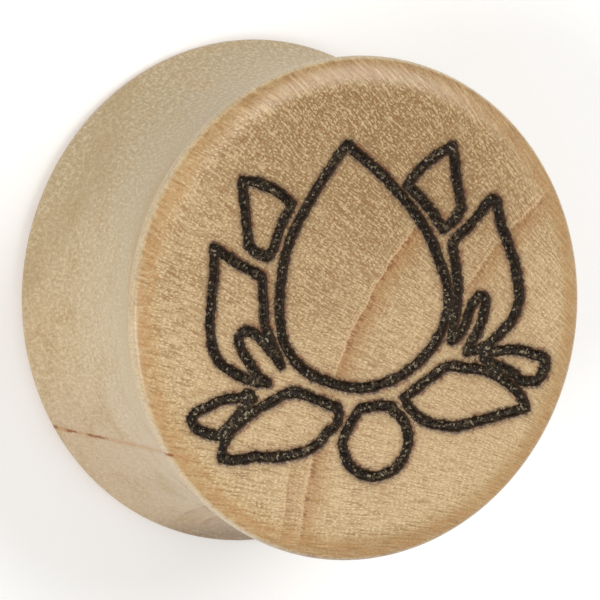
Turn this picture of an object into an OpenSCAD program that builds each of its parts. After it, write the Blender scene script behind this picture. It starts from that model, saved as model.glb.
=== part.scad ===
// Double flared saddle ear plug, turned from one piece of pale wood,
// with a lotus flower burnt into its front face as grooves.
// It lies on its plain back face, with the lotus facing up and its tip towards +Y.

/* [Gauge] */
// Diameter of the saddle at its narrowest, the gauge that the earlobe is stretched to
saddle_d = 22; // [16:0.5:30]
// How far each flare stands out over the saddle, all round
flare_rise = 1.5; // [0.8:0.1:2.5]
// Distance between the widest circles of the two flares
flare_spacing = 11.4; // [8:0.1:16]

/* [Rims] */
// Radius of the tight curve at the very edge of each flare
edge_r = 0.5; // [0.3:0.05:0.8]
// Width of the whole rounding, from the edge in to the face
rim_w = 1.5; // [1.2:0.1:2.5]
// Angle at which the tight curve gives way to the wide curve of the rim
rim_turn = 60; // [45:1:70]
// How far the middle of the front face is sunk below its rim
dish_depth = 0.3; // [0.1:0.05:0.5]

/* [Lotus] */
// Width of the burnt line
line_w = 0.5; // [0.4:0.05:0.8]
// Depth of the burnt line below the face
line_depth = 0.35; // [0.2:0.05:0.6]
// Lines that come closer together than this run into one groove
line_merge = 0.06; // [0.02:0.01:0.2]
// Size of the lotus, where 1 is drawn for a flare 25 mm across
lotus_scale = 1; // [0.7:0.05:1.03]

/* [Hidden] */

// Number of facets round the plug
turn_fn = 120;
// Number of facets round a rounded corner of a line
line_fn = 12;
// Number of facets of the whole great circle that the dish is a small part of
dish_fn = 1800;
// How far a straight step may cut the corner of a bowed line
line_flat = 0.02;
// How far the cutters reach past what they cut
reach = 1;

saddle_r = saddle_d / 2;
flare_r = saddle_r + flare_rise;
face_r = flare_r - rim_w;

// The rim's two curves meet smoothly at rim_turn, and this is the radius of the wide one
crown_r = edge_r + (rim_w - edge_r) / cos(rim_turn);
rim_h = crown_r - (crown_r - edge_r) * sin(rim_turn);

total_w = flare_spacing + 2 * rim_h;
middle_z = total_w / 2;
front_edge_z = middle_z + flare_spacing / 2;

// Radius of the saddle's hollow, so that it runs smoothly into both edge curves
edge_out = flare_rise - edge_r;
half_spacing = flare_spacing / 2;
hollow_r = (pow(edge_out, 2) + pow(half_spacing, 2) - pow(edge_r, 2)) / (2 * (edge_r + edge_out));
hollow_turn = asin(half_spacing / (hollow_r + edge_r));

// Radius of the sphere that the front face is a shallow part of
dish_r = (pow(face_r, 2) + pow(dish_depth, 2)) / (2 * dish_depth);

// Lotus outlines, each a closed loop, counter-clockwise as seen from the front, tip towards +Y.
// A row is [x, y, bow]: a corner, and how far the line from it to the next corner bulges outward.
centre_petal = [
    [0.05, 8.2, 0.12], [-3.3, 4.2, 0.1], [-4.2, 1.8, 0.1], [-4.35, -0.8, 0.28], [-2.75, -3, 0.12],
    [-0.25, -3.95, 0.52], [4.1, -2.3, 0.58], [4.8, 1.5, 0.22], [3, 5.15, 0.12]
];
left_inner_petal = [
    [-5.9, 7.2, 0], [-5.8, 3.95, 0.12], [-4.8, 3.25, 0.06], [-4.4, 3.65, -0.1], [-3.2, 5.65, 0.29]
];
right_inner_petal = [
    [5.9, 7.35, 0.2], [3.25, 5.75, -0.14], [5.05, 3.3, 0.14], [6.15, 4.2, -0.04]
];
left_outer_petal = [
    [-7.75, 4.1, -0.08], [-8.15, 1.4, 0.08], [-8.35, -0.45, 0.3], [-7.2, -2.2, 0.16],
    [-5.4, -2.95, -0.12], [-6.25, -1.95, -0.06], [-6.8, -0.75, -0.18], [-6.3, -0.25, -0.06],
    [-5.65, -0.6, -0.06], [-4.55, -2.2, 0], [-5.25, -0.1, -0.02], [-5.2, 2.3, -0.06]
];
right_outer_petal = [
    [7.85, 4.45, -0.06], [5.5, 2.55, -0.04], [5.6, 0.05, -0.04], [5, -2.25, 0.2], [6, -1.25, -0.12],
    [6.75, -0.3, -0.14], [7.05, -0.7, -0.08], [6.45, -2.1, 0.06], [5.8, -2.95, 0.18],
    [7.55, -2.4, 0.2], [8.9, -0.8, 0.16], [8.6, 1.9, -0.06], [8.1, 4, 0.1]
];
left_side_leaf = [
    [-9.85, -4.2, 0.1], [-9.35, -4.8, 0.04], [-8.4, -5.2, -0.02], [-7.4, -4.5, -0.04],
    [-6.3, -3.65, 0.26], [-6.9, -3.5, 0.16], [-9.15, -3.75, 0.14]
];
left_low_leaf = [
    [-8.35, -6.3, 0.14], [-6.45, -6.45, 0.14], [-3.95, -6.65, 0.2], [-2.3, -5.85, 0.32],
    [-1.6, -4.75, -0.02], [-3.4, -3.8, 0.22], [-5.15, -3.9, 0.16], [-7.65, -5.05, 0.14]
];
low_bud = [
    [-0.4, -4.95, 0.08], [-1.55, -6.5, 0.54], [0.1, -8.4, 0.52], [2.15, -6.85, 0.24],
    [1.45, -5.3, 0.1], [1.2, -5, 0.04]
];
right_low_leaf = [
    [2.15, -4.75, 0.14], [3, -5.95, 0.14], [5, -6.55, 0.02], [8.75, -6.15, 0.16], [7.8, -4.7, 0.2],
    [5.55, -3.7, 0.1], [4.35, -3.6, 0.02]
];
right_side_leaf = [
    [6.75, -3.4, 0], [7.7, -4.05, -0.1], [8.65, -4.8, 0.02], [9.45, -4.9, 0.14],
    [10.05, -3.95, 0.1], [9.55, -3.6, 0.08], [8.2, -3.15, 0], [7.05, -3.1, 0.16]
];
lotus = [
    centre_petal, left_inner_petal, right_inner_petal, left_outer_petal, right_outer_petal,
    left_side_leaf, left_low_leaf, low_bud, right_low_leaf, right_side_leaf
];

// Points along an arc round [x, y], from angle a0 to angle a1 in n steps
function arc(x, y, r, a0, a1, n) =
    [for (i = [0 : n]) let (a = a0 + (a1 - a0) * i / n) [x + r * cos(a), y + r * sin(a)]];

// The same points upside down about the middle of the plug, in reverse order
function mirrored(points) =
    [for (i = [len(points) - 1 : -1 : 0]) [points[i].x, total_w - points[i].y]];

// Half of the turned outline, from just above the saddle's narrowest circle to the top of the rim
function flare_outline() = concat(
    arc(saddle_r + hollow_r, middle_z, hollow_r, 180 - hollow_turn / 10, 180 - hollow_turn, 9),
    arc(flare_r - edge_r, front_edge_z, edge_r, 10 - hollow_turn, rim_turn, 8),
    arc(face_r, total_w - crown_r, crown_r, rim_turn + 6, 90, 4)
);

// A straight or bowed line from p towards q, without q: bow is its height, to the right of the way
function bowed_line(p, q, bow) =
    let (
        chord = norm(q - p),
        along = (q - p) / chord,
        right = [along.y, -along.x],
        n = max(1, ceil(sqrt(abs(bow) / line_flat)))
    )
    [for (i = [0 : n - 1]) let (t = i / n) p + along * chord * t + right * bow * 4 * t * (1 - t)];

// All points of a closed outline
function closed_line(rows) =
    [for (i = [0 : len(rows) - 1])
        let (from = rows[i], to = rows[(i + 1) % len(rows)])
        each bowed_line([from[0], from[1]], [to[0], to[1]], from[2])];

// The line of the given width that follows one outline
module stroke(rows) {
    difference() {
        offset(r = line_w / 2) polygon(closed_line(rows));
        offset(r = -line_w / 2) polygon(closed_line(rows));
    }
}

// The whole drawing as one flat shape
module lotus_drawing() {
    offset(delta = -line_merge / 2)
        offset(delta = line_merge / 2)
            scale(lotus_scale)
                for (rows = lotus) stroke(rows, $fn = line_fn);
}

// All within radius r of the axis that lies above the dished face, or above that face lowered by drop
module above_face(drop, r) {
    translate([0, 0, total_w - dish_depth - drop])
        rotate_extrude($fn = turn_fn)
            intersection() {
                translate([0, dish_r]) circle(r = dish_r, $fn = dish_fn);
                square([r, dish_depth + drop + reach]);
            }
}

// The turned wood with its dished face, before the lotus is cut
module turned_blank() {
    difference() {
        rotate_extrude($fn = turn_fn)
            polygon(concat(
                [[0, 0]], mirrored(flare_outline()), [[saddle_r, middle_z]], flare_outline(), [[0, total_w]]
            ));
        above_face(0, face_r);
    }
}

// The grooves, whose floor follows the dished face
module lotus_grooves() {
    intersection() {
        translate([0, 0, total_w - dish_depth - line_depth - reach])
            linear_extrude(dish_depth + line_depth + 2 * reach) lotus_drawing();
        above_face(line_depth, flare_r);
    }
}

// One piece of wood from face to face
module plug_body() {
    color("burlywood")
        difference() {
            turned_blank();
            lotus_grooves();
        }
}

plug_body();
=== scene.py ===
import math
from types import SimpleNamespace

import bpy
import numpy as np
from mathutils import Matrix, Vector, geometry, kdtree, noise


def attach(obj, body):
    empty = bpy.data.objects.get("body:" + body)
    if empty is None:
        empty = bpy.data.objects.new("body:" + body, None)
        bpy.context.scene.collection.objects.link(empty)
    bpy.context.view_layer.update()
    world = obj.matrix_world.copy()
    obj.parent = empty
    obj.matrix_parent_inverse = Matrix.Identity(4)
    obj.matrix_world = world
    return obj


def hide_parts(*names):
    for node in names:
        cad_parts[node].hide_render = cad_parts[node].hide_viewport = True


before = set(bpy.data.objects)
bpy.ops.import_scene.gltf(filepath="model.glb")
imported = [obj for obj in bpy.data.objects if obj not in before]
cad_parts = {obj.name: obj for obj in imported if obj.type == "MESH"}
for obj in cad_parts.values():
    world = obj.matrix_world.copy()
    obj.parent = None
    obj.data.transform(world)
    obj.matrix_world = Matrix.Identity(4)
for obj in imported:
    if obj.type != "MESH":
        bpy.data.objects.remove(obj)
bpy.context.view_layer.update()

MM = 0.001

# The turned shape, with the same sizes as in the CAD source
SADDLE_R = 11.0
FLARE_R = 12.5
# Distance between the widest circles of the two flares
FLARE_SPACING = 11.4
# Radius of the tight curve at the very edge of each flare
EDGE_R = 0.5
# Width of the whole rounding, from the edge in to the face
RIM_W = 1.5
# Angle at which the tight curve gives way to the wide curve of the rim
RIM_TURN = 60.0
# How far the middle of the front face is sunk below its rim
DISH_DEPTH = 0.3

# What follows from those sizes: CROWN_R is the radius of the rim's wide curve,
# HOLLOW_R that of the saddle's hollow, and DISH_R that of the sphere that the dish is part of
FACE_R = FLARE_R - RIM_W
CROWN_R = EDGE_R + (RIM_W - EDGE_R) / math.cos(math.radians(RIM_TURN))
RIM_H = CROWN_R - (CROWN_R - EDGE_R) * math.sin(math.radians(RIM_TURN))
TOTAL_W = FLARE_SPACING + 2 * RIM_H
MIDDLE_Z = TOTAL_W / 2
EDGE_OUT = FLARE_R - SADDLE_R - EDGE_R
HOLLOW_R = (EDGE_OUT**2 + (FLARE_SPACING / 2) ** 2 - EDGE_R**2) / (2 * (EDGE_R + EDGE_OUT))
HOLLOW_TURN = math.degrees(math.asin(FLARE_SPACING / 2 / (HOLLOW_R + EDGE_R)))
DISH_R = (FACE_R**2 + DISH_DEPTH**2) / (2 * DISH_DEPTH)

# How many parts the side has round the plug, and along each curve of its outline
SECTORS = 360
CROWN_STEPS = 6
EDGE_STEPS = 18
HOLLOW_STEPS = 26
# Distance between points along the burnt line, on the grooves' floor and on the open face
LINE_STEP = 0.062
FLOOR_STEP = 1.3 * LINE_STEP
FACE_STEP = 0.24
# The least number of points on a closed edge of the burnt line
LEAST_POINTS = 12

# The face is meshed out to here, a little way over the start of the rim's curve
FIELD_R = 11.5
# Circles of points round the start of the rim
RIM_ROWS = (10.85, 11.0, 11.15, 11.3)
# Radius of a circle of points on the back's rim, and the circles on the flat back as shares of its radius
BACK_RIM_R = FACE_R + 0.25
BACK_ROWS = (1.0, 0.75, 0.5, 0.25)
# Rounding may put a point of the face's outer circle this far off, in mm or in radians
CIRCLE_SLACK = 1e-4

# How far below the top a level cut passes through every groove, under the face and over their floor
CUT_BELOW_TOP = 0.325
# Rows of points beside the edge of the burnt line, at these distances into the wood and into the groove
WOOD_ROWS = (0.03, 0.1, 0.21)
GROOVE_ROWS = (-0.04, -0.095, -0.16, -0.23)
# A row's point may be off its distance from the edge by this share of it and this much
ROW_SLACK_SHARE = 0.2
ROW_SLACK = 0.004
# The edge's direction at a point is taken between the points this many places before and after it
DIRECTION_REACH = 3
# The points of the open face keep this distance from the burnt line
FACE_CLEAR = WOOD_ROWS[-1] + 0.06
# Points of the face closer together than this become one
MERGE_BELOW = 1e-5
# Lengths and areas up to this are taken as none
TINY = 1e-9

# Unevenness is made of layers, each with its height, its size and a number that picks its random values.
# First how far the edges of the burnt line stray in x and in y, then the crumbs and waves on the crust.
EDGE_LAYERS = (
    ((0.045, 0.45, 3.1), (0.045, 0.19, 3.1)),
    ((0.045, 0.45, 7.7), (0.045, 0.19, 7.7)),
)
CRUST_LAYERS = ((0.04, 0.11, 1.3), (0.03, 0.055, 5.9), (0.03, 0.6, 9.2))

# Depth of the groove's rounded channel, and the distance from its edge at which it is that deep
CHANNEL_DEPTH = 0.32
CHANNEL_SIDE = 0.2
# The crust of charred wood that lines the channel, and how far its edge stands over the face
CRUST_THICK = 0.07
CRUST_RISE = 0.006
# Distance from the edge at which the crumbs have their full height
CRUMB_SIDE = 0.06
# How far the face sinks at the very edge of the line
FACE_SINK = 0.012
# How far the wood lies under the crust's top at the edge, and the distance from the edge at which
# it lies in the middle of the crust
WOOD_UNDER = 0.018
UNDER_SIDE = 0.05
# Points this close to the edge lie on it
ON_EDGE = 1e-6
# Nothing of the burnt line shows this far from it
FAR_GAP = 3.0


# Shapes, as arrays of points


def node_triangles(node):
    """The corners of a CAD node's triangles, in mm."""
    mesh = node.data
    mesh.calc_loop_triangles()
    points = np.empty(len(mesh.vertices) * 3)
    mesh.vertices.foreach_get("co", points)
    points = points.reshape(-1, 3) / MM
    corners = np.empty(len(mesh.loop_triangles) * 3, int)
    mesh.loop_triangles.foreach_get("vertices", corners)
    return points[corners.reshape(-1, 3)]


def cut_line(triangle, height):
    """Start and end of the line where the plane z = height cuts a triangle, with the wood on its left.

    Both are rounded to 0.001 mm, so that the lines of neighbouring triangles meet.
    """
    ends = []
    for a, b in ((0, 1), (1, 2), (2, 0)):
        first, second = triangle[a], triangle[b]
        if (first[2] > height) != (second[2] > height):
            share = (height - first[2]) / (second[2] - first[2])
            ends.append((first + (second - first) * share)[:2])
    start, end = ends
    normal = np.cross(triangle[1] - triangle[0], triangle[2] - triangle[0])
    along = end - start
    if along[0] * normal[1] - along[1] * normal[0] > 0:
        start, end = end, start
    return tuple(np.round(start, 3)), tuple(np.round(end, 3))


def chained(following):
    """Closed outlines from a table of the point after each point. The table is emptied on the way."""
    loops = []
    while following:
        start = next(iter(following))
        loop = [start]
        point = following.pop(start)
        while point != start:
            loop.append(point)
            point = following.pop(point)
        loops.append(np.array(loop))
    return loops


def cut_loops(node, height):
    """Closed outlines, in mm, where the plane z = height cuts a CAD node, with the wood on their left."""
    triangles = node_triangles(node)
    above = triangles[:, :, 2] > height
    crossing = triangles[above.any(1) & ~above.all(1)]
    lines = [cut_line(triangle, height) for triangle in crossing]
    return chained({start: end for start, end in lines if start != end})


def resampled(loop, step):
    """The same closed outline with evenly spaced points."""
    ring = np.vstack([loop, loop[:1]])
    along = np.concatenate([[0], np.cumsum(np.linalg.norm(np.diff(ring, axis=0), axis=1))])
    count = max(LEAST_POINTS, round(along[-1] / step))
    at = np.arange(count) * along[-1] / count
    return np.column_stack([np.interp(at, along, ring[:, axis]) for axis in (0, 1)])


def left_normals(loop):
    """Unit vectors to the left of a closed outline at each of its points."""
    along = np.roll(loop, -DIRECTION_REACH, axis=0) - np.roll(loop, DIRECTION_REACH, axis=0)
    along /= np.linalg.norm(along, axis=1)[:, None]
    return np.column_stack([-along[:, 1], along[:, 0]])


def roughness(points, size, seed):
    """Smooth random values between about -1 and 1 at 2-D points, with features of the given size."""
    return np.array([noise.noise(Vector((x / size, y / size, seed))) for x, y in points])


def uneven(points, layers):
    """Smooth random heights at 2-D points, as the sum of the layers."""
    return sum(height * roughness(points, size, seed) for height, size, seed in layers)


def burnt_edges(node):
    """The edges of the burnt line as uneven closed outlines, with the wood on their left.

    The unevenness bends the whole plane, so that edges close together cannot cross.
    """
    edges = []
    for loop in cut_loops(node, TOTAL_W - CUT_BELOW_TOP):
        is_plug_outline = np.linalg.norm(loop, axis=1).min() > FIELD_R
        if not is_plug_outline:
            even = resampled(loop, LINE_STEP)
            edges.append(even + np.column_stack([uneven(even, layers) for layers in EDGE_LAYERS]))
    return edges


def tree_of(points):
    """A search tree that finds the nearest one of 2-D points."""
    tree = kdtree.KDTree(len(points))
    for i, (x, y) in enumerate(points):
        tree.insert((x, y, 0), i)
    tree.balance()
    return tree


class Burn:
    """Where a point lies relative to the edges of the burnt line."""

    def __init__(self, edges):
        """Keeps the edges' points, and for each the point before and after it on its edge."""
        self.points = np.vstack(edges)
        self.tree = tree_of(self.points)
        starts = np.cumsum([0] + [len(edge) for edge in edges])
        rounds = [np.arange(start, end) for start, end in zip(starts, starts[1:])]
        self.after = np.concatenate([np.roll(numbers, -1) for numbers in rounds])
        self.before = np.concatenate([np.roll(numbers, 1) for numbers in rounds])

    def gaps(self, points):
        """Distance to the nearest edge, negative inside the burnt line, and the way out from it.

        Only the two pieces of edge that meet in the nearest point of an edge are looked at.
        """
        near = np.array([self.tree.find((x, y, 0))[1] for x, y in points])
        best = np.full(len(points), np.inf)
        gap = np.zeros(len(points))
        way = np.zeros((len(points), 2))
        side = np.zeros(len(points))
        for start, end in ((self.before[near], near), (near, self.after[near])):
            a = self.points[start]
            along = self.points[end] - a
            share = ((points - a) * along).sum(1) / (along**2).sum(1)
            foot = a + along * np.clip(share, 0, 1)[:, None]
            out = points - foot
            distance = np.linalg.norm(out, axis=1)
            turn = along[:, 0] * out[:, 1] - along[:, 1] * out[:, 0]
            side += turn / np.linalg.norm(along, axis=1)
            closer = distance < best - TINY
            best[closer] = distance[closer]
            gap[closer] = (np.sign(turn) * distance)[closer]
            way[closer] = out[closer]
        # Where the nearest place is a corner, both pieces together say which side the point is on
        corner = np.abs(np.linalg.norm(points - self.points[near], axis=1) - best) < TINY
        gap[corner] = (np.sign(side) * best)[corner]
        way /= np.maximum(np.linalg.norm(way, axis=1), TINY)[:, None]
        return gap, way


def apart(points, distance):
    """The points without those that fall in the same small cell as an earlier one."""
    cells = np.floor(points / distance).astype(int)
    kept = np.unique(cells, axis=0, return_index=True)[1]
    return points[np.sort(kept)]


def lattice(step, radius):
    """Points of a triangular lattice inside a circle."""
    rows = np.arange(-radius, radius, step * math.sqrt(3) / 2)
    columns = np.arange(-radius, radius, step)
    x = columns[None, :] + (np.arange(len(rows)) % 2)[:, None] * step / 2
    y = np.broadcast_to(rows[:, None], x.shape)
    points = np.column_stack([x.ravel(), y.ravel()])
    return points[np.linalg.norm(points, axis=1) < radius]


def clear_of(points, others, distance):
    """The points that keep a distance from all of the others."""
    tree = tree_of(others)
    return points[[tree.find((x, y, 0))[2] > distance for x, y in points]]


def ring_points(radius):
    """Evenly spaced points on a circle round the plug's axis."""
    turn = np.arange(SECTORS) * 2 * math.pi / SECTORS
    return np.column_stack([radius * np.cos(turn), radius * np.sin(turn)])


def face_points(edges, burn):
    """Points spread over the face, closer together along the burnt line."""
    rows = []
    for edge in edges:
        normals = left_normals(edge)
        for offset in WOOD_ROWS + GROOVE_ROWS:
            row = edge + normals * offset
            error = np.abs(burn.gaps(row)[0] - offset)
            rows.append(row[error < ROW_SLACK_SHARE * abs(offset) + ROW_SLACK])
    rows = apart(np.vstack(rows), LINE_STEP / 2)
    fine = lattice(FLOOR_STEP, FIELD_R)
    fine = clear_of(fine[burn.gaps(fine)[0] < -LINE_STEP], rows, LINE_STEP)
    inner = lattice(FACE_STEP, RIM_ROWS[0] - FACE_STEP / 2)
    coarse = np.vstack([inner] + [ring_points(radius) for radius in RIM_ROWS])
    coarse = coarse[burn.gaps(coarse)[0] > FACE_CLEAR]
    return np.vstack([rows, fine, coarse])


def closed_pairs(first, count):
    """Index pairs that join count points from first onwards into a closed loop."""
    return [(first + i, first + (i + 1) % count) for i in range(count)]


def face_mesh(edges, burn):
    """Points and triangles of the flat face, in which the burnt line's edges stay edges."""
    rim = ring_points(FIELD_R)
    pairs = closed_pairs(0, len(rim))
    first = len(rim)
    for edge in edges:
        pairs += closed_pairs(first, len(edge))
        first += len(edge)
    points = np.vstack([rim] + edges + [face_points(edges, burn)])
    made = geometry.delaunay_2d_cdt([Vector(p) for p in points], pairs, [], 0, MERGE_BELOW)
    flat = np.array([tuple(p) for p in made[0]])
    triangles = np.array([t for t in made[2] if len(t) == 3])
    a, b, c = (flat[triangles[:, k]] for k in range(3))
    turn = (b[:, 0] - a[:, 0]) * (c[:, 1] - a[:, 1]) - (b[:, 1] - a[:, 1]) * (c[:, 0] - a[:, 0])
    triangles[turn < 0] = triangles[turn < 0][:, ::-1]
    return flat, triangles[np.abs(turn) > TINY]


def face_height(points):
    """Height of the dished face and the start of the rim at 2-D points."""
    radius = np.linalg.norm(points, axis=1)
    dish = TOTAL_W - DISH_DEPTH + DISH_R - np.sqrt(DISH_R**2 - radius**2)
    rim = TOTAL_W - CROWN_R + np.sqrt(CROWN_R**2 - np.clip(radius - FACE_R, 0, CROWN_R) ** 2)
    return np.where(radius < FACE_R, dish, rim)


def channel_depth(gap):
    """Depth of the burnt channel below the face."""
    inward = np.clip(-gap / CHANNEL_SIDE, 0, 1)
    return CHANNEL_DEPTH * np.sqrt(1 - (1 - inward) ** 2)


def crust_height(points, gap):
    """Height of the crumbly top of the crust."""
    inward = np.clip(-gap / CRUMB_SIDE, 0, 1)
    smooth = face_height(points) + CRUST_RISE - channel_depth(gap)
    return smooth + inward * uneven(points, CRUST_LAYERS)


def wood_height(points, gap, crust):
    """Height of the wood, which runs through the middle of the crust's thickness inside the line."""
    eased = np.clip(1 - gap / WOOD_ROWS[1], 0, 1) ** 2
    beside = face_height(points) - FACE_SINK * eased
    inward = np.clip(-gap / UNDER_SIDE, 0, 1)
    under = crust - WOOD_UNDER - inward * (CRUST_THICK / 2 - WOOD_UNDER)
    return np.where(gap < ON_EDGE, under, beside)


def arc(centre, radius, start, end, steps):
    """Points along an arc, with angles in degrees."""
    turn = np.radians(np.linspace(start, end, steps + 1))
    return np.column_stack([centre[0] + radius * np.cos(turn), centre[1] + radius * np.sin(turn)])


def side_profile():
    """Radius and height, from just under the face's outer circle to near the middle of the back."""
    field_turn = math.degrees(math.acos((FIELD_R - FACE_R) / CROWN_R))
    edge_z = MIDDLE_Z + FLARE_SPACING / 2
    crown = arc((FACE_R, TOTAL_W - CROWN_R), CROWN_R, field_turn, RIM_TURN, CROWN_STEPS)
    edge = arc((FLARE_R - EDGE_R, edge_z), EDGE_R, RIM_TURN, -HOLLOW_TURN, EDGE_STEPS)
    hollow = arc((SADDLE_R + HOLLOW_R, MIDDLE_Z), HOLLOW_R, 180 - HOLLOW_TURN, 180, HOLLOW_STEPS)
    front = np.vstack([crown[1:], edge[1:], hollow[1:]])
    back = np.vstack([crown[:1], front])[-2::-1] * (1, -1) + (0, TOTAL_W)
    base = [(BACK_RIM_R, TOTAL_W - face_height(np.array([[BACK_RIM_R, 0.0]]))[0])]
    base += [(FACE_R * share, 0.0) for share in BACK_ROWS]
    return np.vstack([front, back, base])


def turned_side(rim):
    """Points and faces of the side and back, joined on to the ring of points rim."""
    profile = side_profile()
    points = [(r * x, r * y, z) for r, z in profile for x, y in ring_points(1.0)]
    first = max(rim) + 1
    rings = [list(rim)]
    rings += [list(range(first + k * SECTORS, first + (k + 1) * SECTORS)) for k in range(len(profile))]
    faces = []
    for upper, lower in zip(rings, rings[1:]):
        for i, j in closed_pairs(0, SECTORS):
            faces.append((upper[i], lower[i], lower[j], upper[j]))
    centre = first + len(points)
    points.append((0.0, 0.0, 0.0))
    faces += [(rings[-1][i], centre, rings[-1][j]) for i, j in closed_pairs(0, SECTORS)]
    return np.array(points), faces


def free_sides(triangles):
    """Sides that only one of the triangles has, each as a pair of points in that triangle's order."""
    sides = [(t[k], t[(k + 1) % 3]) for t in triangles for k in range(3)]
    known = set(sides)
    return [(a, b) for a, b in sides if (b, a) not in known]


# The wood and the crust as mesh objects


def new_object(name, points, faces):
    """A smooth shaded mesh object from points in mm."""
    mesh = bpy.data.meshes.new(name)
    mesh.from_pydata((points * MM).tolist(), [], faces)
    mesh.polygons.foreach_set("use_smooth", [True] * len(mesh.polygons))
    mesh.validate()
    mesh.update()
    made = bpy.data.objects.new(name, mesh)
    bpy.context.scene.collection.objects.link(made)
    return made


def new_values(made, name, values):
    """A number on each point of a mesh, for its material to read."""
    made.data.attributes.new(name, "FLOAT", "POINT").data.foreach_set("value", values)


def outer_circle(flat):
    """Numbers of the points on the face's outer circle, in order round it."""
    on_circle = np.flatnonzero(np.linalg.norm(flat, axis=1) > FIELD_R - CIRCLE_SLACK)
    turn = np.arctan2(flat[on_circle, 1], flat[on_circle, 0]) % (2 * math.pi)
    # The first point may come out a hair under a full turn
    turn[turn > 2 * math.pi - CIRCLE_SLACK] = 0
    return on_circle[np.argsort(turn)]


def make_wood(flat, triangles, gap, way, height):
    """The turned body with its grooves."""
    rim = outer_circle(flat)
    # The rim's points come last, next to those of the side, and place gives each point its new number
    order = np.concatenate([np.setdiff1d(np.arange(len(flat)), rim), rim])
    place = np.empty(len(flat), int)
    place[order] = np.arange(len(flat))
    top = np.column_stack([flat, height])[order]
    side, side_faces = turned_side(place[rim])
    made = new_object("turned_wood", np.vstack([top, side]), place[triangles].tolist() + side_faces)
    side_gap = np.full(len(side), FAR_GAP)
    new_values(made, "line_gap", np.concatenate([np.minimum(gap[order], FAR_GAP), side_gap]))
    new_values(made, "line_side", np.concatenate([way[order, 0], np.zeros(len(side))]))
    return made


def make_crust(burn, flat, triangles, gap, height):
    """The charred crust as a thin closed shell that lines the grooves."""
    middle = flat[triangles].mean(1)
    inside = triangles[burn.gaps(middle)[0] < 0]
    used, numbers = np.unique(inside, return_inverse=True)
    upper = numbers.reshape(-1, 3)
    lower = upper[:, ::-1] + len(used)
    sides = [(b, a, a + len(used), b + len(used)) for a, b in free_sides(upper.tolist())]
    top = np.column_stack([flat[used], height[used]])
    bottom = top - (0, 0, CRUST_THICK)
    made = new_object("burnt_crust", np.vstack([top, bottom]), upper.tolist() + lower.tolist() + sides)
    new_values(made, "line_gap", np.tile(gap[used], 2))
    return made


edges = burnt_edges(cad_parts["plug_body"])
burn = Burn(edges)
flat, triangles = face_mesh(edges, burn)
gap, way = burn.gaps(flat)
crust_top = crust_height(flat, gap)
wood = make_wood(flat, triangles, gap, way, wood_height(flat, gap, crust_top))
crust = make_crust(burn, flat, triangles, gap, crust_top)


# Materials, made of procedural nodes. Their lengths are in mm, and a noise scale is in features per mm.


# How bright a white surface looks on the face under the scene's lights
SCENE_LIGHT = 1.1


def seen(red, green, blue):
    """The shader colour that looks like these 8-bit screen values under the scene's lights.

    The other numbers are those of the standard screen curve.
    """
    scaled = [c / 255 for c in (red, green, blue)]
    linear = [c / 12.92 if c <= 0.04045 else ((c + 0.055) / 1.055) ** 2.4 for c in scaled]
    return tuple(c / SCENE_LIGHT for c in linear) + (1.0,)


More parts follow.
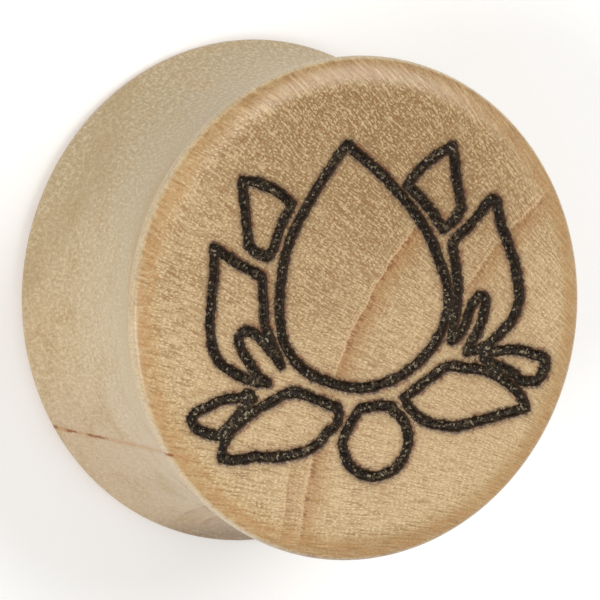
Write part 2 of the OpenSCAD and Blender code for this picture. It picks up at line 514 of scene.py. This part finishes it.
class Shader:
    """A new material with short ways to add nodes to it."""

    def __init__(self, name):
        """A material with nothing but its surface shader."""
        self.material = bpy.data.materials.new(name)
        self.material.use_nodes = True
        self.tree = self.material.node_tree
        self.surface = self.tree.nodes["Principled BSDF"]

    def put(self, socket, value):
        """Links a socket to another node's output, or gives it a plain value."""
        if isinstance(value, bpy.types.NodeSocket):
            self.tree.links.new(value, socket)
        else:
            socket.default_value = value

    def node(self, kind, inputs=(), **settings):
        """A new node with its settings, and with its inputs by name or number."""
        made = self.tree.nodes.new(kind)
        for key, value in settings.items():
            setattr(made, key, value)
        for key, value in dict(inputs).items():
            self.put(made.inputs[key], value)
        return made

    def calc(self, operation, *values):
        """The result of a Math node."""
        return self.node("ShaderNodeMath", dict(enumerate(values)), operation=operation).outputs[0]

    def times(self, first, *others):
        """The product of all the values."""
        product = first
        for value in others:
            product = self.calc("MULTIPLY", product, value)
        return product

    def plus(self, a, b):
        """The sum of two values."""
        return self.calc("ADD", a, b)

    def minus(self, a, b):
        """The first value less the second."""
        return self.calc("SUBTRACT", a, b)

    def length(self, x, y):
        """The distance of (x, y) from the origin."""
        return self.calc("SQRT", self.plus(self.times(x, x), self.times(y, y)))

    def step(self, value, low, high, start=0.0, end=1.0):
        """A smooth change from start to end as value goes from low to high."""
        inputs = {"Value": value, "From Min": low, "From Max": high, "To Min": start, "To Max": end}
        return self.node("ShaderNodeMapRange", inputs, interpolation_type="SMOOTHSTEP").outputs[0]

    def hill(self, value, foot, top, top_end, foot_end):
        """A smooth rise from 0 at foot to 1 at top, and a fall from top_end to foot_end."""
        return self.times(self.step(value, foot, top), self.step(value, foot_end, top_end))

    def vector(self, x, y, z):
        """Three values as one vector."""
        return self.node("ShaderNodeCombineXYZ", {"X": x, "Y": y, "Z": z}).outputs[0]

    def noise(self, vector, scale=1.0, detail=2.0, rough=0.5):
        """Smooth noise round 0.5."""
        inputs = {"Vector": vector, "Scale": scale, "Detail": detail, "Roughness": rough}
        return self.node("ShaderNodeTexNoise", inputs).outputs["Fac"]

    def wander(self, reach, vector, scale, **looks):
        """Smooth noise round 0, at most half of reach either way."""
        return self.times(self.minus(self.noise(vector, scale, **looks), 0.5), reach)

    def cells(self, x, y, randomness):
        """Distance to the nearest cell's middle in the x, y plane, and a random value for that cell."""
        inputs = {"Vector": self.vector(x, y, 0.0), "Scale": 1.0, "Randomness": randomness}
        made = self.node("ShaderNodeTexVoronoi", inputs, voronoi_dimensions="2D")
        split = self.node("ShaderNodeSeparateColor", {"Color": made.outputs["Color"]})
        return made.outputs["Distance"], split.outputs[0]

    def mix(self, share, a, b):
        """A colour that goes from a to b as share goes from 0 to 1."""
        return self.node("ShaderNodeMix", {0: share, 6: a, 7: b}, data_type="RGBA").outputs[2]

    def over(self, base, colour, *shares):
        """The base with a colour over it, as strong as the product of the shares."""
        return self.mix(self.times(*shares), base, colour)

    def value(self, name):
        """The number that new_values left on the mesh under this name."""
        return self.node("ShaderNodeAttribute", attribute_name=name).outputs["Fac"]

    def millimetres(self):
        """x, y and z of the point in mm."""
        place = self.node("ShaderNodeTexCoord").outputs["Object"]
        scaled = self.node("ShaderNodeVectorMath", {0: place, 1: (1 / MM,) * 3}, operation="MULTIPLY")
        return self.node("ShaderNodeSeparateXYZ", {0: scaled.outputs[0]}).outputs

    def finish(self, colour, rough, height, strength, distance):
        """Gives the surface its colour, its roughness, and a relief of the given height."""
        inputs = {"Strength": strength, "Distance": distance, "Height": height}
        self.put(self.surface.inputs["Base Color"], colour)
        self.put(self.surface.inputs["Roughness"], rough)
        self.put(self.surface.inputs["Normal"], self.node("ShaderNodeBump", inputs).outputs[0])


# The grain runs along z, and its growth rings and rays are centred on the tree's pith
PITH = (24.0, -17.0)
# Distance from the pith at which angles round it are turned into lengths
MEAN_RING = 33.0
# Growth rings: radius round the pith, the angles in degrees between which a ring shows, and its strength
RINGS = (
    (29.1, 133.5, 153.0, 1.0),
    (29.0, 157.5, 168.0, 0.9),
    (30.1, 160.0, 168.0, 0.45),
    (25.0, 121.0, 137.0, 0.7),
    (25.2, 158.0, 164.0, 0.3),
)
# Radius round the pith of the ring that shows on the saddle
SIDE_RING = 41.0
# Angle round the pith of the ray that has opened into a fine split, and its turn for each mm of height
SPLIT_DEGREES = 161.7
SPLIT_LEAN = 0.045
# Length on the side of one degree round the pith
SPLIT_MM = 0.6
# Middle of the browner part of the face
BROWN_PATCH = (2.6, 9.4)


def wood_places(s):
    """Where a point of the wood lies, on the plug and in the tree that it came from.

    end and side tell how far the surface shows the grain's ends or its side. out is the distance from
    the pith and round the length along a growth ring, and both wander a little. degrees is the angle
    round the pith, and circle the length round the saddle.
    """
    x, y, z = s.millimetres()
    normal = s.node("ShaderNodeTexCoord").outputs["Normal"]
    upright = s.calc("ABSOLUTE", s.node("ShaderNodeSeparateXYZ", {0: normal}).outputs[2])
    along = s.vector(x, y, s.times(z, 0.12))
    dx = s.minus(x, PITH[0])
    dy = s.minus(y, PITH[1])
    turn = s.calc("ARCTAN2", dy, dx)
    return SimpleNamespace(
        x=x,
        y=y,
        z=z,
        radius=s.length(x, y),
        place=s.vector(x, y, z),
        end=s.step(upright, 0.35, 0.97),
        side=s.step(upright, 0.8, 0.45),
        out=s.plus(s.length(dx, dy), s.wander(0.8, along, 0.35)),
        round=s.plus(s.times(turn, MEAN_RING), s.wander(0.7, along, 0.25, detail=1)),
        degrees=s.times(turn, 180 / math.pi),
        circle=s.times(s.calc("ARCTAN2", y, x), SADDLE_R),
    )


def flecks(s, at, out_scale, round_scale, shift):
    """Small pale ovals of cut fibres on the end grain, from 0 to 1."""
    out = s.plus(s.times(at.out, out_scale), shift)
    distance, chance = s.cells(out, s.times(at.round, round_scale), 0.95)
    return s.times(s.step(distance, 0.38, 0.2), s.step(chance, 0.1, 0.8))


def pores(s, at):
    """A few small dark pores on the end grain, from 0 to 1."""
    distance, chance = s.cells(s.times(at.out, 2.6), s.times(at.round, 3.2), 1.0)
    return s.times(s.step(distance, 0.22, 0.08), s.calc("GREATER_THAN", chance, 0.8))


def brownness(s, at):
    """How brown the face is, from 0 to 1: most at its brown patch, in clouds, and half on the rim, where
    less brown paints a lighter band as a highlight.
    """
    dx = s.times(s.minus(at.x, BROWN_PATCH[0]), 0.8)
    dy = s.minus(at.y, BROWN_PATCH[1])
    away = s.plus(s.length(dx, dy), s.wander(16.0, at.place, 0.22, detail=3, rough=0.6))
    # Half as brown on the rim: a painted highlight that keeps the top of the rim light
    return s.times(s.step(away, 16.5, 1.5), s.step(at.radius, 10.8, 11.6, 1.0, 0.5))


def end_grain(s, at):
    """Colour of the face: browner towards the top right, with painted shade along the bottom, rays and
    pale flecks, and its relief.
    """
    brown = brownness(s, at)
    base = s.mix(brown, seen(196, 164, 115), seen(144, 110, 62))
    # Painted shade: the bottom of the face and rim is darker, where the rim's curve turns away from the
    # light
    base = s.over(base, seen(164, 130, 88), s.step(at.y, -10.4, -12.0, 0.0, 0.6))

    rays = s.noise(s.vector(s.times(at.out, 0.9), s.times(at.round, 8.0), 0.0), detail=1.5)
    ray = s.step(rays, 0.52, 0.36)
    base = s.over(base, seen(148, 104, 52), ray, s.step(brown, 0.0, 1.0, 0.58, 0.78))
    base = s.over(base, seen(222, 194, 146), s.step(rays, 0.56, 0.68, 0.0, 0.55))

    # The flecks fade on the rim, and further out on its left
    rim_start = s.step(at.x, -2.0, -8.0, 0.0, 0.6)
    smooth = s.step(s.minus(at.radius, rim_start), 11.0, 11.8, 1.0, 0.15)
    large = flecks(s, at, 3.3, 9.0, 0.0)
    small = flecks(s, at, 5.0, 13.0, 31.0)
    pale = s.mix(brown, seen(232, 207, 164), seen(218, 190, 140))
    base = s.over(base, pale, large, smooth, 0.8)
    base = s.over(base, pale, small, smooth, 0.65)
    base = s.over(base, seen(126, 84, 46), pores(s, at), 0.25)

    return base, s.minus(s.times(large, 0.5), s.times(ray, 0.6))


def side_grain(s, at):
    """Colour of the saddle: paler and greyer next to the front rim as painted light, browner and mottled
    towards the back, darker at the top as painted shade, lighter low on the side as painted light, and
    with a painted shadow at the bottom.
    """
    # Painted light: paler and greyer towards the front rim, where the flare turns towards the light
    base = s.mix(s.step(at.z, 1.0, 8.5), seen(196, 168, 126), seen(198, 180, 148))
    # Painted shade: darker towards the top of the saddle
    base = s.over(base, seen(168, 150, 113), s.step(at.y, -2.0, 12.0, 0.0, 0.8))
    # Painted light: lighter low on the side, where the light falls
    base = s.over(base, seen(205, 184, 162), s.step(at.y, -1.0, -6.0, 0.0, 0.4))
    # Painted shadow: dark along the bottom of the saddle, where it turns away from the light
    base = s.over(base, seen(120, 84, 48), s.step(at.y, -9.9, -12.3, 0.0, 0.9))

    # Blotches and curls fade next to the front rim, and streaks and curls fade below
    far = s.step(at.z, 9.5, 5.0, 0.2, 1.0)
    calm = s.step(at.y, -2.0, -7.0, 1.0, 0.5)
    blotches = s.noise(s.vector(s.times(at.circle, 0.42), s.times(at.z, 0.75), 4.0), detail=4, rough=0.62)
    streaks = s.noise(s.vector(s.times(at.circle, 6.5), s.times(at.z, 3.4), 0.0), detail=2.5, rough=0.65)
    curls = s.noise(s.vector(s.times(at.circle, 4.5), s.times(at.z, 7.0), 8.0), rough=0.6)
    base = s.over(base, seen(178, 148, 100), s.step(blotches, 0.46, 0.68), far, 0.62)
    base = s.over(base, seen(228, 212, 180), s.step(streaks, 0.5, 0.66, 0.0, 0.42), calm)
    base = s.over(base, seen(168, 142, 98), s.step(streaks, 0.48, 0.32, 0.0, 0.38), calm)
    base = s.over(base, seen(226, 206, 168), s.step(curls, 0.5, 0.64, 0.0, 0.4), far, calm)

    # The ring that the saddle cuts twice, far out from the pith, shows as two soft bands along the grain
    across = s.calc("ABSOLUTE", s.minus(at.out, SIDE_RING))
    band = s.times(s.step(across, 0.55, 0.1), s.step(blotches, 0.3, 0.6, 0.4, 1.0))
    return s.over(base, seen(172, 146, 102), band, 0.5)


def with_rim(s, at, base):
    """The front rim: darker in an uneven band, which is weaker at the top as a painted highlight, and
    worn pale just outside it.
    """
    rim_patches = s.step(s.noise(at.place, 2.0, detail=3, rough=0.7), 0.38, 0.58, 0.2, 1.0)
    front = s.step(at.z, 10.0, 11.5)
    # Painted highlight: the darker band is weaker at the top of the rim, where the rim faces the light
    low = s.step(at.y, 6.0, 11.0, 1.0, 0.3)
    rim_band = s.times(s.hill(at.radius, 11.3, 11.8, 12.28, 12.36), front, low)
    worn = s.times(s.step(at.radius, 12.3, 12.38), s.step(at.z, 12.2, 12.4))
    bevel = s.hill(at.z, 11.0, 11.8, 12.2, 12.4)
    base = s.over(base, seen(190, 142, 86), rim_band, rim_patches, 0.6)
    base = s.over(base, seen(230, 204, 160), worn, rim_patches, 0.4)
    return s.over(base, seen(204, 166, 112), bevel, rim_patches, 0.4)


def with_rings(s, at, base):
    """Growth rings: a thin pale line, then brown that fades towards the pith, with dark dots in it."""
    breaks = s.noise(s.vector(s.times(at.out, 2.0), s.times(at.round, 6.5), s.times(at.z, 0.9)))
    ragged = s.noise(s.vector(s.times(at.out, 0.8), s.times(at.round, 7.0), at.z), rough=0.6)
    ragged = s.step(ragged, 0.3, 0.7, -0.05, 0.05)
    for ring, first, last, strength in RINGS:
        window = s.times(s.hill(at.degrees, first - 1, first + 2, last - 2, last + 1), strength)
        inward = s.plus(s.minus(ring, at.out), ragged)
        band = s.hill(inward, -0.05, 0.05, 0.1, 1.4)
        line = s.hill(inward, -0.16, -0.08, -0.06, 0.0)
        dots = s.times(s.hill(inward, 0.0, 0.05, 0.1, 0.5), s.step(breaks, 0.5, 0.58))
        base = s.over(base, seen(168, 114, 52), band, window, 0.6)
        base = s.over(base, seen(230, 190, 146), line, window, 0.5)
        base = s.over(base, seen(126, 72, 34), dots, window, 0.8)
    return base


def with_split(s, at, base):
    """A fine brown line of dashes across the saddle, where a ray has opened a little."""
    turn = s.minus(at.degrees, s.plus(s.times(at.z, SPLIT_LEAN), SPLIT_DEGREES))
    beside = s.calc("ABSOLUTE", s.times(turn, SPLIT_MM))
    off_face = s.calc("MAXIMUM", s.step(at.z, 12.4, 12.0), s.step(at.radius, 11.6, 11.9))
    outside = s.times(s.step(at.out, 33.6, 34.0), off_face)
    ragged = s.plus(beside, s.step(s.noise(at.place, 5.0), 0.35, 0.65, -0.025, 0.025))
    dashes = s.noise(s.vector(s.times(at.out, 0.9), 3.0, s.times(at.z, 1.7)), detail=1)
    ends = s.plus(s.step(at.z, 3.2, 5.0, 1.0, 0.0), s.step(at.z, 12.0, 12.4))
    line = s.times(s.step(ragged, 0.09, 0.03), outside)
    base = s.over(base, seen(180, 134, 84), s.step(beside, 0.3, 0.0), outside, 0.2)
    base = s.over(base, seen(188, 140, 90), line, 0.45)
    return s.over(base, seen(146, 90, 42), line, s.step(dashes, 0.46, 0.52), ends)


def with_scorch(s, at, base):
    """Wood scorched along the burnt line, strongest on its right, and charred at its very edge."""
    gap = s.value("line_gap")
    right = s.step(s.value("line_side"), -0.3, 0.6, 0.3, 1.0)
    patches = s.step(s.noise(at.place, 1.6, detail=3, rough=0.7), 0.48, 0.56)
    ragged = s.plus(gap, s.step(s.noise(at.place, 5.0, rough=0.7), 0.3, 0.7, -0.08, 0.08))
    char = s.plus(gap, s.step(s.noise(at.place, 5.5, detail=3, rough=0.65), 0.32, 0.68, -0.08, 0.08))
    base = s.over(base, seen(118, 90, 58), s.step(gap, 0.9, 0.05, 0.0, 0.14))
    base = s.over(base, seen(94, 70, 28), s.step(gap, 0.34, 0.0, 0.0, 0.5))
    base = s.over(base, seen(128, 76, 34), s.step(ragged, 0.25, 0.13), patches, right, 0.8)
    return s.over(base, seen(62, 34, 8), s.step(char, 0.12, 0.01, 0.0, 0.92))


def wood_material():
    """Pale, lightly polished wood, with its face cut across the grain and its side along it."""
    s = Shader("pale_wood")
    at = wood_places(s)
    face, relief = end_grain(s, at)
    base = s.mix(at.side, face, side_grain(s, at))
    base = with_rim(s, at, base)
    grit = s.noise(at.place, 7.5, rough=0.7)
    base = s.over(base, seen(236, 214, 182), s.step(grit, 0.5, 0.75, 0.0, 0.22))
    base = s.over(base, seen(140, 104, 66), s.step(grit, 0.5, 0.25, 0.0, 0.3))
    base = with_rings(s, at, base)
    base = with_split(s, at, base)
    base = with_scorch(s, at, base)
    polish = s.times(s.step(at.radius, 10.8, 11.6), s.step(at.z, 11.4, 12.2), 0.12)
    rough = s.minus(s.step(grit, 0.3, 0.7, 0.38, 0.46), polish)
    s.finish(base, rough, s.times(relief, at.end), strength=0.25, distance=0.02 * MM)
    s.surface.inputs["Specular IOR Level"].default_value = 0.6
    return s.material


def crust_material():
    """Charred wood: black walls, and a floor with glossy crumbs, painted lighter grey-brown as
    highlights, and with painted glints.
    """
    s = Shader("burnt_crust")
    x, y, z = s.millimetres()
    place = s.vector(x, y, z)
    gap = s.value("line_gap")
    floor = s.step(gap, -0.02, -0.13, 0.25, 1.0)
    grain = s.noise(place, 7.0, detail=3, rough=0.65)
    crumbs = s.noise(place, 4.2, detail=2.5, rough=0.7)
    crumb = s.times(s.step(crumbs, 0.52, 0.62), floor)
    painted_glints = s.noise(place, 5.2, rough=0.6)
    base = s.over(seen(18, 13, 9), seen(58, 44, 30), s.step(grain, 0.35, 0.7), floor)
    # Painted highlight: the crumbs are lighter grey-brown, as where they catch the light
    base = s.over(base, seen(116, 101, 78), crumb, 0.7)
    # Painted glints: small pale specks on the floor of the groove
    base = s.over(base, seen(182, 168, 138), s.step(painted_glints, 0.58, 0.66), floor, 0.8)
    base = s.over(base, seen(88, 62, 38), s.step(gap, -0.1, 0.0, 0.0, 0.45))
    rough = s.step(grain, 0.3, 0.7, 0.35, 0.65)
    s.finish(base, rough, s.plus(grain, s.times(crumb, 0.8)), strength=0.8, distance=0.05 * MM)
    s.surface.inputs["Specular IOR Level"].default_value = 0.2
    return s.material


def floor_material():
    """A pale floor that glows a little, so that its far corners stay nearly white."""
    s = Shader("pale_floor")
    s.surface.inputs["Base Color"].default_value = (0.93, 0.93, 0.93, 1.0)
    s.surface.inputs["Roughness"].default_value = 0.7
    s.surface.inputs["Specular IOR Level"].default_value = 0.2
    s.surface.inputs["Emission Color"].default_value = (0.93, 0.97, 1.0, 1.0)
    s.surface.inputs["Emission Strength"].default_value = 0.15
    return s.material


wood.data.materials.append(wood_material())
crust.data.materials.append(crust_material())
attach(wood, "root")
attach(crust, "root")
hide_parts("plug_body")


# Floor, lights and camera

# Directions to the photograph's right, up and camera in the object's frame. NEARLY_UP is the measured
# up, before it is made square to the right.
IMAGE_RIGHT = Vector((0.8809, -0.0826, 0.4661)).normalized()
NEARLY_UP = Vector((0.1341, 0.9878, -0.0785))
IMAGE_UP = (NEARLY_UP - IMAGE_RIGHT * NEARLY_UP.dot(IMAGE_RIGHT)).normalized()
IMAGE_BACK = IMAGE_RIGHT.cross(IMAGE_UP)
IMAGE_SIZE = 600
PIXELS_PER_MM = 20.174
CAMERA_DISTANCE = 1250.0
SENSOR_W = 36.0
# Where the plug's middle lies in the photograph, in pixels right of and above its centre
MIDDLE_RIGHT = -0.24
MIDDLE_UP = 1.01
# Distance of the lamps from the plug, and half the width of the floor, in metres
LAMP_DISTANCE = 0.6
FLOOR_HALF = 4.0


def facing(direction, place):
    """The placing of a camera or lamp that looks along -direction, with the photograph's up."""
    back = direction.normalized()
    right = IMAGE_UP.cross(back).normalized()
    up = back.cross(right)
    turn = Matrix((right, up, back)).transposed().to_4x4()
    return Matrix.Translation(place) @ turn


def add_camera():
    """The camera, with the photograph's view and frame."""
    data = bpy.data.cameras.new("camera")
    data.sensor_width = SENSOR_W
    data.lens = PIXELS_PER_MM * CAMERA_DISTANCE * SENSOR_W / IMAGE_SIZE
    data.clip_start = 0.05
    data.clip_end = 20.0
    made = bpy.data.objects.new("camera", data)
    bpy.context.scene.collection.objects.link(made)
    offset = IMAGE_RIGHT * MIDDLE_RIGHT + IMAGE_UP * MIDDLE_UP
    aim = Vector((0, 0, MIDDLE_Z)) - offset / PIXELS_PER_MM
    made.matrix_world = facing(IMAGE_BACK, (aim + IMAGE_BACK * CAMERA_DISTANCE) * MM)
    bpy.context.scene.camera = made


def add_lamp(name, towards, size, power, colour):
    """A soft lamp that shines on the plug, from a direction in the photograph's right, up and back."""
    data = bpy.data.lights.new(name, "AREA")
    data.shape = "DISK"
    data.size = size
    data.energy = power
    data.color = colour
    made = bpy.data.objects.new(name, data)
    made.visible_camera = False
    bpy.context.scene.collection.objects.link(made)
    right, up, back = towards
    direction = (IMAGE_RIGHT * right + IMAGE_UP * up + IMAGE_BACK * back).normalized()
    made.matrix_world = facing(direction, direction * LAMP_DISTANCE + Vector((0, 0, MIDDLE_Z * MM)))


def add_floor():
    """A square floor under the plug."""
    corners = [(x * FLOOR_HALF, y * FLOOR_HALF, 0) for x, y in ((-1, -1), (1, -1), (1, 1), (-1, 1))]
    made = new_object("floor", np.array(corners) / MM, [(0, 1, 2, 3)])
    made.data.materials.append(floor_material())


def add_world():
    """Soft, even light from all round."""
    world = bpy.data.worlds.new("studio")
    world.use_nodes = True
    background = world.node_tree.nodes["Background"]
    background.inputs["Color"].default_value = (1.0, 0.99, 0.97, 1.0)
    background.inputs["Strength"].default_value = 0.54
    bpy.context.scene.world = world


add_floor()
add_world()
add_lamp("right_lamp", (0.77, 0.36, 0.56), size=0.38, power=1.6, colour=(1.0, 0.97, 0.95))
add_lamp("left_lamp", (-0.4, -0.28, 0.88), size=0.3, power=1.5, colour=(1.0, 1.0, 1.0))
add_camera()
bpy.context.scene.view_settings.view_transform = "Standard"
